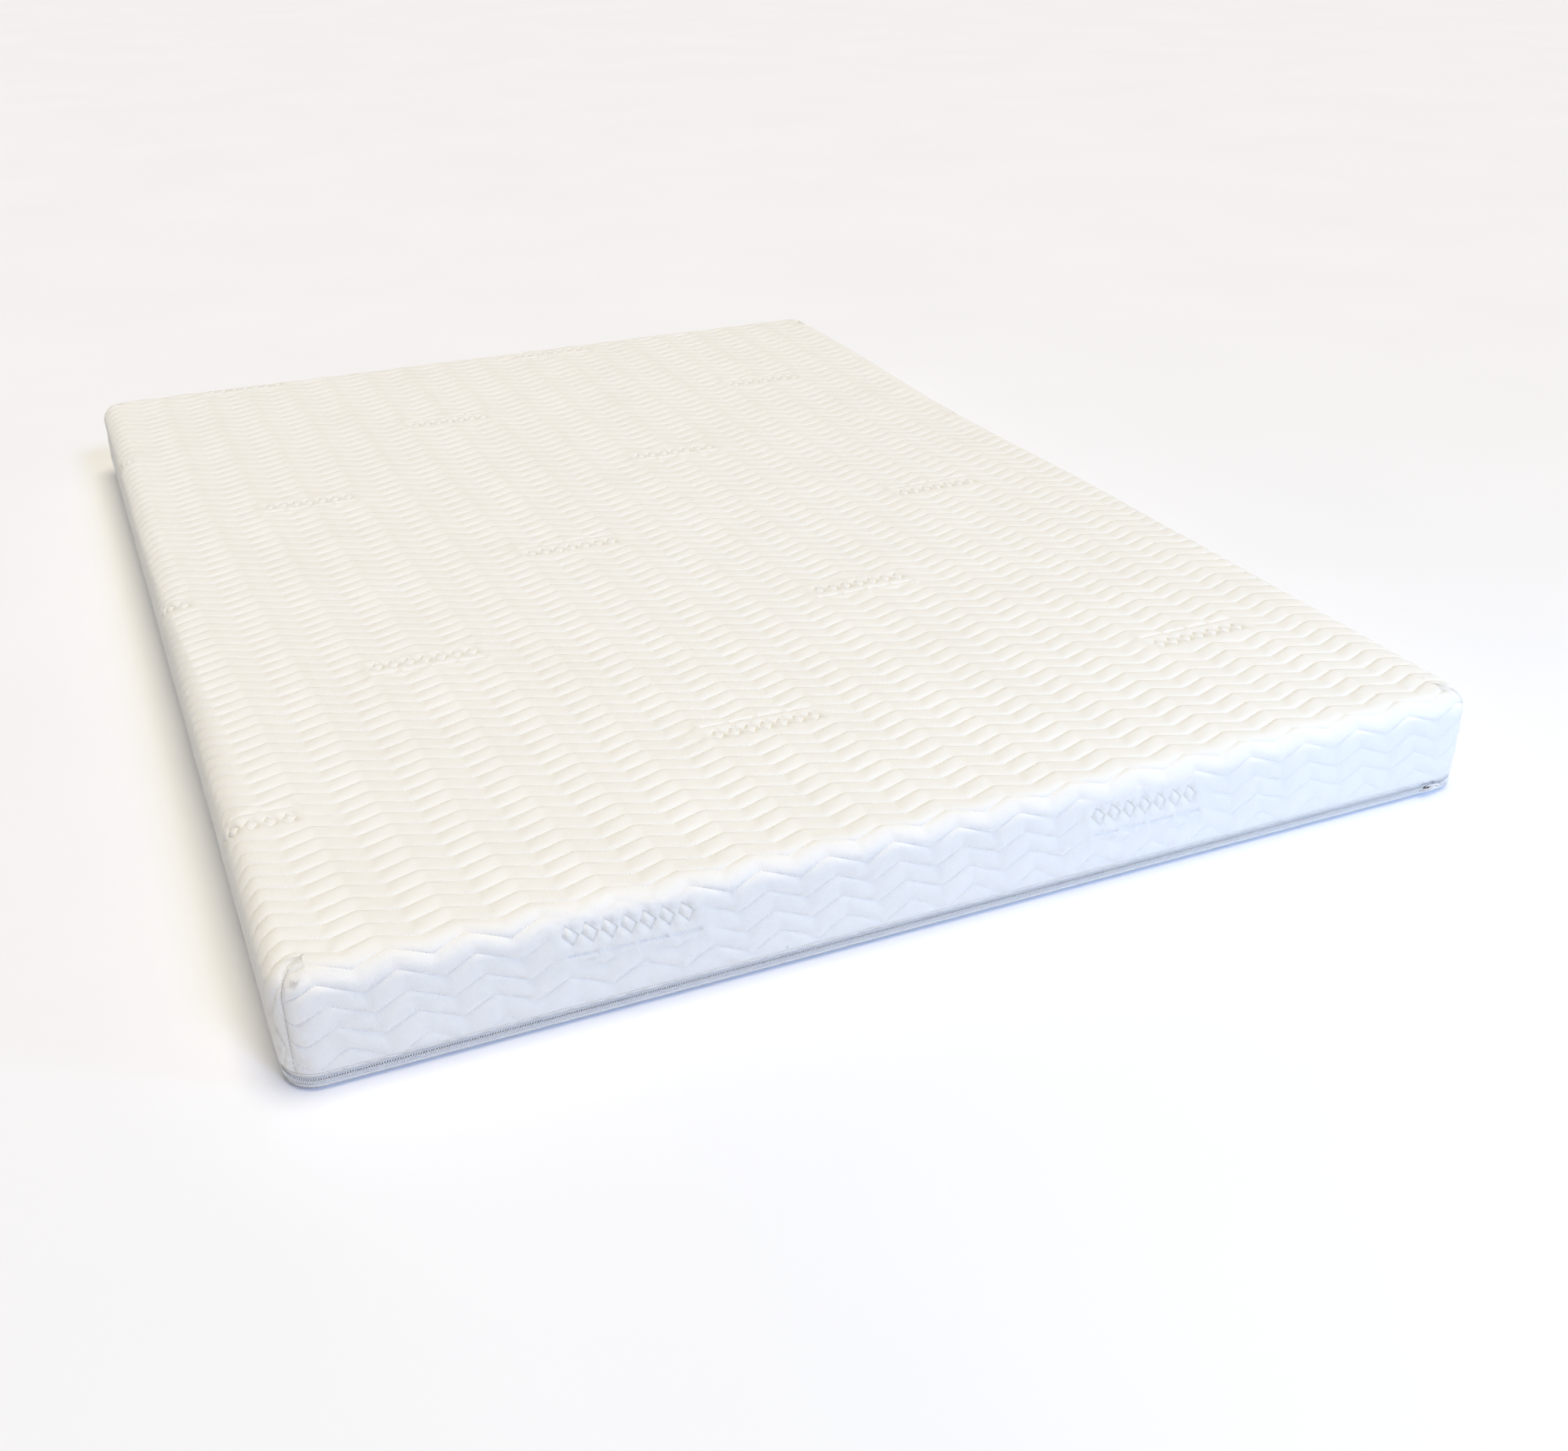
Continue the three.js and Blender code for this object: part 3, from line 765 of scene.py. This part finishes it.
def knit_material():
    """The quilted knit: soft cream jersey with fine wales, a faint mottle, stitches along its grooves, and
    painted shade that darkens the grooves.
    """
    material, tree, shader = new_material("quilted_knit", {
        "Roughness": 0.86, "Sheen Weight": 0.22, "Sheen Roughness": 0.45, "Specular IOR Level": 0.25})
    place = uv_place(tree, "fabric")
    knit = knit_height(tree, place, 0.0015, 0.0012)
    mottle = noise(tree, place, 9.0, 4.0, 0.6)
    fluff = noise(tree, place, 900.0, 2.0, 0.6)
    crest = tree.nodes.new("ShaderNodeAttribute")
    crest.attribute_name = "crest"
    flank = calc(tree, "MINIMUM", calc(tree, "MULTIPLY", crest.outputs["Fac"], 3.0), 1.0)
    groove = calc(tree, "SUBTRACT", 1.0, flank)
    dimples = calc(tree, "MULTIPLY", groove, waves(tree, axes(tree, place)[0], 0.0027))
    # Painted shade: the base colour is darkened along the grooves, where the relief's own shade falls.
    tone = calc(tree, "SUBTRACT", mix(tree, mottle, 0.7, fluff, 0.3), calc(tree, "MULTIPLY", groove, 0.07))
    ramp(tree, tone, (0.25, (0.895, 0.88, 0.845)), (0.75, (0.94, 0.93, 0.905)), shader.inputs["Base Color"])
    bump(tree, shader, (dimples, 0.00016), (fluff, 0.00012), (knit, 0.00012))
    return material


def lining_material():
    """The cover's backing: a pale bonded fleece with short fibres."""
    material, tree, shader = new_material("cover_backing", {
        "Roughness": 0.92, "Sheen Weight": 0.2, "Specular IOR Level": 0.2})
    fibres = noise(tree, uv_place(tree, "fabric"), 420.0, 5.0, 0.7)
    ramp(tree, fibres, (0.3, (0.80, 0.79, 0.765)), (0.7, (0.87, 0.86, 0.835)), shader.inputs["Base Color"])
    bump(tree, shader, (fibres, 0.0004))
    return material


def base_material():
    """The base panel: a plain dense weave, a little greyer than the cover."""
    material, tree, shader = new_material("base_fabric", {
        "Roughness": 0.82, "Sheen Weight": 0.12, "Specular IOR Level": 0.3})
    place = object_place(tree)
    u, v, _ = axes(tree, place)
    weave = calc(tree, "MULTIPLY", waves(tree, u, 0.0022), waves(tree, v, 0.0022))
    slub = noise(tree, place, 160.0, 3.0, 0.6)
    ramp(tree, slub, (0.3, (0.87, 0.868, 0.86)), (0.7, (0.92, 0.918, 0.91)), shader.inputs["Base Color"])
    bump(tree, shader, (slub, 0.0003), (weave, 0.0002))
    return material


def tape_material():
    """Woven polyester zip tape with a fine herringbone."""
    material, tree, shader = new_material("zip_tape", {
        "Roughness": 0.6, "Sheen Weight": 0.15, "Specular IOR Level": 0.4})
    u, v, _ = axes(tree, uv_place(tree, "run"))
    twill = waves(tree, calc(tree, "ADD", u, calc(tree, "PINGPONG", v, 0.0016)), 0.0009)
    light = mix(tree, twill, 0.5, 0.5, 1.0)
    ramp(tree, light, (0.0, (0.92, 0.925, 0.93)), (1.0, (0.955, 0.96, 0.965)), shader.inputs["Base Color"])
    bump(tree, shader, (twill, 0.00018))
    return material


def coil_material():
    """Nylon coil: slightly translucent white with a soft gloss."""
    material, tree, shader = new_material("zip_coil", {
        "Roughness": 0.36, "Specular IOR Level": 0.5, "Coat Weight": 0.15, "Subsurface Weight": 0.08,
        "Subsurface Scale": 0.001})
    haze = noise(tree, object_place(tree), 700.0, 2.0)
    ramp(tree, haze, (0.3, (0.92, 0.925, 0.93)), (0.7, (0.95, 0.955, 0.96)), shader.inputs["Base Color"])
    bump(tree, shader, (haze, 0.00005))
    return material


def slider_material():
    """White lacquer on zinc, worn to metal along the edges."""
    material, tree, shader = new_material("zip_slider", {
        "Roughness": 0.3, "Coat Weight": 0.5, "Coat Roughness": 0.12})
    pointiness = tree.nodes.new("ShaderNodeNewGeometry").outputs["Pointiness"]
    speck = noise(tree, object_place(tree), 1500.0, 4.0, 0.7)
    wear = calc(tree, "ADD", pointiness, calc(tree, "MULTIPLY", speck, 0.10))
    ramp(tree, wear, (0.60, (0.86, 0.865, 0.87)), (0.66, (0.50, 0.50, 0.51)), shader.inputs["Base Color"])
    ramp(tree, wear, (0.60, (0.0, 0.0, 0.0)), (0.66, (1.0, 1.0, 1.0)), shader.inputs["Metallic"])
    bump(tree, shader, (speck, 0.00003))
    return material


def thread_material():
    """Twisted polyester sewing thread."""
    material, tree, shader = new_material("sewing_thread", {
        "Roughness": 0.5, "Sheen Weight": 0.3, "Specular IOR Level": 0.4})
    x, y, z = axes(tree, object_place(tree))
    twist = waves(tree, calc(tree, "ADD", calc(tree, "ADD", x, y), z), 0.0006)
    light = mix(tree, twist, 0.5, 0.5, 1.0)
    ramp(tree, light, (0.0, (0.83, 0.825, 0.80)), (1.0, (0.92, 0.915, 0.89)), shader.inputs["Base Color"])
    bump(tree, shader, (twist, 0.00012))
    return material


def satin_material():
    """Woven satin label: fine floats that shine along the weave."""
    material, tree, shader = new_material("label_satin", {
        "Roughness": 0.34, "Anisotropic": 0.6, "Sheen Weight": 0.2, "Specular IOR Level": 0.5})
    place = object_place(tree)
    x, _, z = axes(tree, place)
    floats = waves(tree, mix(tree, z, 1.0, x, 0.2), 0.0005)
    shade = noise(tree, place, 60.0, 3.0)
    ramp(tree, shade, (0.3, (0.87, 0.87, 0.86)), (0.7, (0.92, 0.92, 0.91)), shader.inputs["Base Color"])
    bump(tree, shader, (floats, 0.00006))
    return material


def foam_material(name, cell, dark, light):
    """Open-cell foam: pits of uneven size under a soft matt face."""
    material, tree, shader = new_material(name, {
        "Roughness": 0.95, "Specular IOR Level": 0.15, "Subsurface Weight": 0.1, "Subsurface Scale": 0.004})
    place = object_place(tree)
    pits = cells(tree, place, cell)
    large = cells(tree, place, cell / 0.3)
    ramp(tree, mix(tree, pits, 0.5, noise(tree, place, 6.0, 3.0), 0.5), (0.2, dark), (0.7, light),
         shader.inputs["Base Color"])
    bump(tree, shader, (large, 0.5 * cell), (pits, 0.5 * cell))
    return material


def floor_material():
    """A pale, matt studio floor."""
    material, tree, shader = new_material("studio_floor", {"Roughness": 0.9, "Specular IOR Level": 0.1})
    tone = noise(tree, object_place(tree), 2.0, 2.0)
    ramp(tree, tone, (0.3, (0.885, 0.905, 0.97)), (0.7, (0.90, 0.92, 0.985)), shader.inputs["Base Color"])
    return material


# The outline of the mattress, for the bands that run round it.
STRAIGHTS = (2 * CORNER_X, 2 * CORNER_Y, 2 * CORNER_X, 2 * CORNER_Y)
ARC = CORNER_RADIUS * math.pi / 2
PERIMETER = sum(STRAIGHTS) + 4 * ARC
CORNERS = np.array([(-1, -1), (1, -1), (1, 1), (-1, 1)]) * (CORNER_X, CORNER_Y)


def outline(run, inset, height):
    """Points at runs along the outline, from the left of the foot end to the right, with outward normals."""
    run = np.mod(np.asarray(run, float), PERIMETER)
    centre = np.zeros((len(run), 2))
    turn = np.zeros(len(run))
    start = 0.0
    for side, length in enumerate(STRAIGHTS):
        facing = -math.pi / 2 + side * math.pi / 2
        step = run - start
        pick = (step >= 0) & (step <= length)
        ahead = np.array([-math.sin(facing), math.cos(facing)])
        centre[pick] = CORNERS[side] + ahead * step[pick, None]
        turn[pick] = facing
        start += length
        step = run - start
        pick = (step > 0) & (step < ARC)
        centre[pick] = CORNERS[(side + 1) % 4]
        turn[pick] = facing + step[pick] / CORNER_RADIUS
        start += ARC
    out = np.stack([np.cos(turn), np.sin(turn)], 1)
    inset = np.broadcast_to(inset, len(run))
    flat = centre + (CORNER_RADIUS - inset)[:, None] * out
    flat[:, 0] = np.clip(flat[:, 0], inset - HALF_WIDTH, HALF_WIDTH - inset)
    flat[:, 1] = np.clip(flat[:, 1], inset - HALF_LENGTH, HALF_LENGTH - inset)
    place = np.column_stack([flat, np.broadcast_to(height, len(run))])
    return place, np.column_stack([out, np.zeros(len(run))])


def runs(first, last, step):
    """Evenly spaced runs from first to last, with the outline's corner points kept."""
    stops = [first, last]
    start = 0.0
    for lap in range(2):
        for length in STRAIGHTS:
            for f in np.linspace(0, length, int(length / step) + 1):
                stops.append(start + f)
            for f in np.linspace(0, ARC, 9)[1:-1]:
                stops.append(start + length + f)
            start += length + ARC
    stops = np.unique(np.round([s for s in stops if first <= s <= last], 6))
    return stops


def loft(name, run, section, material):
    """A band round the outline with a closed section of (inset, height) points, and a UV map of its run."""
    places = np.concatenate([outline(run, inset, height)[0] for inset, height in section])
    count, length = len(section), len(run)
    index = np.arange(count * length).reshape(count, length)
    faces = grid_quads(np.vstack([index, index[:1]])).tolist()
    faces += [index[:, 0].tolist(), index[::-1, -1].tolist()]
    made = mesh_object(name, settle(places), faces)
    layer = made.data.uv_layers.new(name="run")
    corner = np.empty(len(made.data.loops), np.int32)
    made.data.loops.foreach_get("vertex_index", corner)
    around = np.tile(run, count)
    sizes = np.cumsum([0] + [math.dist(section[i], section[i + 1]) for i in range(count - 1)])
    across = np.repeat(sizes, length)
    layer.data.foreach_set("uv", np.stack([around[corner], across[corner]], 1).astype(np.float32).ravel())
    made.data.materials.append(material)
    return made


def beads(name, places, along, out, length, width, depth, material, sides=5):
    """Many small rounded rods in one piece: each lies along its direction, out is its outward side."""
    across = np.cross(along, out)
    rings = []
    for share, size in ((-0.5, 0.35), (-0.32, 1.0), (0.32, 1.0), (0.5, 0.35)):
        for k in range(sides):
            angle = 2 * math.pi * k / sides
            offset = along * (share * length) + across * (math.cos(angle) * width / 2 * size)
            rings.append(places + offset + out * (math.sin(angle) * depth / 2 * size))
    points = np.stack(rings, 1).reshape(-1, 3)
    pattern = ring_quads(4, sides)[:, [1, 0, 3, 2]]
    base = np.arange(len(places)) * sides * 4
    quads = (pattern + base[:, None, None]).reshape(-1, 4).tolist()
    caps = [list(range(b, b + sides)) for b in base.tolist()]
    tops = [list(range(b + 4 * sides - 1, b + 3 * sides - 1, -1)) for b in base.tolist()]
    made = mesh_object(name, settle(points), quads + caps + tops)
    made.data.materials.append(material)
    return made


def block(name, section, material, ripple=0.0, grain=0.0):
    """A closed slab from its section of (inset, height) points: bottom middle, round the side, top middle."""
    run = runs(0.0, PERIMETER, 0.03)[:-1]
    wobble = ripple * (np.sin(run * 97) * np.sin(run * 31 + 1) + 0.5 * np.sin(run * 211 + 2))
    rows = []
    for inset, height in section:
        free = wobble * float(smoothstep(0.002, 0.006, height)) * (1 if inset < 0.02 else 0)
        points, _ = outline(run, inset + free, height)
        rows.append(points)
    places = np.array(rows)
    places[1:-1] += grain * rng.standard_normal((len(rows) - 2, len(run), 3))
    faces = ring_quads(len(section), len(run))
    places, faces, _ = weld(places.reshape(-1, 3), faces.tolist(), (), 1e-5)
    made = mesh_object(name, settle(places), faces)
    made.data.materials.append(material)
    return made


def across_flat(start, height):
    """Section points from the middle of a flat face out to an inset, nearest the edge last."""
    steps = [0.675, 0.62, 0.55, 0.48, 0.41, 0.34, 0.27, 0.20, 0.14, 0.09, 0.055]
    return [(step, height) for step in steps] + [(start, height)]


def bend(inset, height, radius, first, last, count):
    """Section points on an arc about (inset, height), angles from straight out (0) to straight up (90)."""
    return [(inset - radius * math.cos(math.radians(a)), height + radius * math.sin(math.radians(a)))
            for a in np.linspace(first, last, count)]


def make_foams(memory_material, core_material):
    """The two foam layers, each one closed block with crisp cut edges at the bond."""
    top = bend(FOAM_INSET + 0.0195, MEMORY_TOP - 0.0195, 0.0195, 0, 90, 8)
    section = across_flat(FOAM_INSET + 0.0008, MEMORY_BOTTOM)
    section += [(FOAM_INSET, MEMORY_BOTTOM + 0.0008), (FOAM_INSET, 0.086)]
    section += top + list(reversed(across_flat(0.04, MEMORY_TOP)))
    memory = block("memory_foam_block", section, memory_material, grain=0.00018)
    low = bend(FOAM_INSET + 0.022, CORE_BOTTOM + 0.022, 0.022, -90, 0, 8)
    section = across_flat(0.045, CORE_BOTTOM) + low
    section += [(FOAM_INSET, 0.04), (FOAM_INSET, 0.056), (FOAM_INSET, CORE_TOP - 0.0008)]
    section += list(reversed(across_flat(FOAM_INSET + 0.0008, CORE_TOP)))
    core = block("base_foam_block", section, core_material, grain=0.00018)
    return memory, core


def make_tray(material):
    """The base panel: a shallow fabric tray with a rolled, slightly puckered rim."""
    outer = bend(0.0102, 0.008, 0.008, -90, -16, 7)
    rim = [(0.0022, 0.0062), (0.0025, 0.0066), (0.0031, 0.0067), (0.0037, 0.0065), (0.0041, 0.0058)]
    inner = [(0.0050, 0.0042), (0.0066, 0.0028), (0.0092, 0.0020)]
    section = across_flat(0.03, 0.0) + outer + rim + inner + list(reversed(across_flat(0.03, 0.0020)))
    return block("base_panel_tray", section, material, ripple=0.00022)


def make_zip(tape, coil, thread):
    """Tapes, coil teeth and seam stitching all round the mattress: node name to (piece, slot)."""
    pieces = {}
    tape_run = runs(0.6301 + CORNER_X, 0.6300 + CORNER_X + PERIMETER, 0.03)
    upper = [(0.0033, 0.0122), (0.0031, 0.0128), (0.0033, 0.0134), (0.0032, 0.0150), (0.0034, 0.0220),
             (0.0040, 0.0220), (0.0040, 0.0134), (0.0041, 0.0128), (0.0039, 0.0122)]
    lower = [(0.0032, 0.0061), (0.0031, 0.0074), (0.0033, 0.0089), (0.0031, 0.0096), (0.0033, 0.0102),
             (0.0039, 0.0102), (0.0041, 0.0096), (0.0039, 0.0089), (0.0038, 0.0061)]
    pieces["zip_tape_upper"] = loft("zip_tape_upper_woven", tape_run, upper, tape), "zip_tape"
    pieces["zip_tape_lower"] = loft("zip_tape_lower_woven", tape_run, lower, tape), "zip_tape"
    first, last = 0.6365 + CORNER_X, 0.6242 + CORNER_X + PERIMETER
    count = int((last - first) / TOOTH_PITCH)
    upright = np.array([0.0, 0.0, 1.0])
    for node, shift, middle in (("zip_coil_upper", 0.0, 0.01235), ("zip_coil_lower", 0.5, 0.01005)):
        places, out = outline(first + (np.arange(count) + shift) * TOOTH_PITCH, 0.0027, middle)
        along = np.broadcast_to(upright, places.shape)
        teeth = beads(node + "_teeth", places, along, out, 0.0033, 0.00115, 0.0016, coil, sides=4)
        pieces[node] = teeth, "zip_coil"
    run = first + np.arange(int((last - first) / STITCH_PITCH)) * STITCH_PITCH
    for half, inset, height in (("upper", 0.0020, 0.0195), ("lower", 0.0027, 0.0042)):
        node = "zip_stitching_" + half
        places, out = outline(run, inset, height)
        along = np.cross(np.broadcast_to(upright, out.shape), out)
        stitches = beads(node + "_thread", places, along, out, 0.0034, 0.0007, 0.0007, thread)
        pieces[node] = stitches, "sewing_thread"
    return pieces


def make_corner_stitches(thread):
    """The thread of the four upright corner seams, sunk between the two quilted edges."""
    names = {(-1, -1): "front_left", (1, -1): "front_right", (1, 1): "back_right", (-1, 1): "back_left"}
    pieces = {}
    for (sx, sy), name in names.items():
        t = np.arange(0.010, HEM_SEAM - 0.003, 0.0042)
        flat = np.column_stack([np.full(len(t), sx * (CORNER_X + SEAM_REACH)), sy * (FLAT_END_Y + t)])
        places, out = drape(flat, np.full(len(t), 1))
        side = np.array([-sy * math.sqrt(0.5), sx * math.sqrt(0.5), 0.0])
        along = np.cross(out, np.broadcast_to(side, out.shape))
        sunk = 0.0016 * smoothstep(0.0, 0.016, t)
        pieces[name] = beads("corner_seam_stitches_" + name, places - out * sunk[:, None], along, out,
                             0.0033, 0.0008, 0.0008, thread)
    return pieces


def make_label(satin, thread):
    """The blank care label on the head end: a folded satin sheet, sewn down along both short edges."""
    x0, z0, width, height = LABEL
    columns, rows = 25, 15
    places = []
    for side in (0.0007, 0.0002):
        for j in range(rows):
            for i in range(columns):
                x, z = width * (i / (columns - 1) - 0.5), height * (j / (rows - 1) - 0.5)
                hem = 0.0003 if side > 0.0005 and (j < 2 or j > rows - 3 or i < 2 or i > columns - 3) else 0.0
                wave = 0.00025 * math.sin(90 * x + 1.0) * math.sin(120 * z)
                places.append((x0 + x, HALF_LENGTH + side + hem + wave, z0 + z))
    each = rows * columns
    index = np.arange(each).reshape(rows, columns)
    front = grid_quads(index)[:, [0, 3, 2, 1]]
    rim = np.concatenate([index[0, :-1], index[:-1, -1], index[-1, :0:-1], index[:0:-1, 0]])
    ahead = np.roll(rim, -1)
    edges = np.stack([rim, ahead, ahead + each, rim + each], 1)
    faces = np.concatenate([front, front[:, ::-1] + each, edges]).tolist()
    label = mesh_object("care_label_satin", places, faces)
    label.data.materials.append(satin)
    spots = [(x0 + sign * (width / 2 - 0.0025), HALF_LENGTH + 0.0011, z0 + z)
             for sign in (-1, 1) for z in np.arange(-height / 2 + 0.003, height / 2 - 0.002, 0.0030)]
    up = np.tile([0.0, 0.0, 1.0], (len(spots), 1))
    out = np.tile([0.0, 1.0, 0.0], (len(spots), 1))
    stitches = beads("care_label_stitches", np.array(spots), up, out, 0.0023, 0.0005, 0.0005, thread)
    return label, stitches


def rounded_copy(node, name, radius, material):
    """A copy of a CAD node with its edges rounded over."""
    bm = bmesh.new()
    bm.from_mesh(bpy.data.objects[node].data)
    bmesh.ops.remove_doubles(bm, verts=bm.verts[:], dist=1e-6)
    bmesh.ops.dissolve_limit(bm, angle_limit=math.radians(2), verts=bm.verts[:], edges=bm.edges[:])
    hard = [e for e in bm.edges if len(e.link_faces) == 2 and e.calc_face_angle() > math.radians(25)]
    bmesh.ops.bevel(bm, geom=hard, offset=radius, segments=3, profile=0.5, affect="EDGES", clamp_overlap=True)
    mesh = bpy.data.meshes.new(name)
    bm.to_mesh(mesh)
    bm.free()
    mesh.shade_smooth()
    mesh.materials.clear()
    mesh.materials.append(material)
    made = bpy.data.objects.new(name, mesh)
    bpy.context.collection.objects.link(made)
    return made


def make_floor():
    """The studio floor."""
    corners = [(-FLOOR, -FLOOR, 0), (FLOOR, -FLOOR, 0), (FLOOR, FLOOR, 0), (-FLOOR, FLOOR, 0)]
    floor = mesh_object("studio_floor", corners, [(0, 1, 2, 3)])
    floor.data.materials.append(floor_material())


def declare(piece, body, slot, *nodes):
    """Says what a piece rides on and which CAD nodes it stands for; the slot, the finish it has, is not used.
    """
    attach(piece, body)
    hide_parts(*nodes)


def build():
    """The whole scene."""
    add_camera()
    add_lights()
    make_floor()
    thread = thread_material()
    coil = coil_material()
    cover = finish_cover(knit_material(), lining_material())
    declare(cover, "cover_top", "quilted_knit", "cover_top_shell")
    memory, core = make_foams(
        foam_material("memory_foam", 0.0011, (0.80, 0.78, 0.72), (0.90, 0.885, 0.84)),
        foam_material("base_foam", 0.0019, (0.70, 0.73, 0.75), (0.84, 0.86, 0.87)))
    declare(memory, "foam_and_base", "memory_foam", "memory_foam_layer")
    declare(core, "foam_and_base", "base_foam", "base_foam_core")
    tray = make_tray(base_material())
    declare(tray, "foam_and_base", "base_fabric", "cover_base_panel")
    for node, (piece, slot) in make_zip(tape_material(), coil, thread).items():
        declare(piece, "cover_top" if node.endswith("upper") else "foam_and_base", slot, node)
    for name, piece in make_corner_stitches(thread).items():
        declare(piece, "cover_top", "sewing_thread", "corner_seam_thread_" + name)
    slider = slider_material()
    body = rounded_copy("zip_slider_body", "zip_slider_lacquered", 0.00035, slider)
    declare(body, "zip_slider", "zip_slider", "zip_slider_body")
    tab = rounded_copy("zip_pull_tab", "zip_pull_tab_lacquered", 0.00028, slider)
    declare(tab, "pull_tab", "zip_slider", "zip_pull_tab")
    label, stitches = make_label(satin_material(), thread)
    declare(label, "cover_top", "label_satin", "care_label")
    declare(stitches, "cover_top", "sewing_thread", "care_label")
    for half, body in (("upper", "cover_top"), ("lower", "foam_and_base")):
        for end in ("closed_end", "open_end"):
            node = "zip_stop_" + half + "_" + end
            declare(rounded_copy(node, node + "_moulded", 0.0002, coil), body, "zip_coil", node)


build()
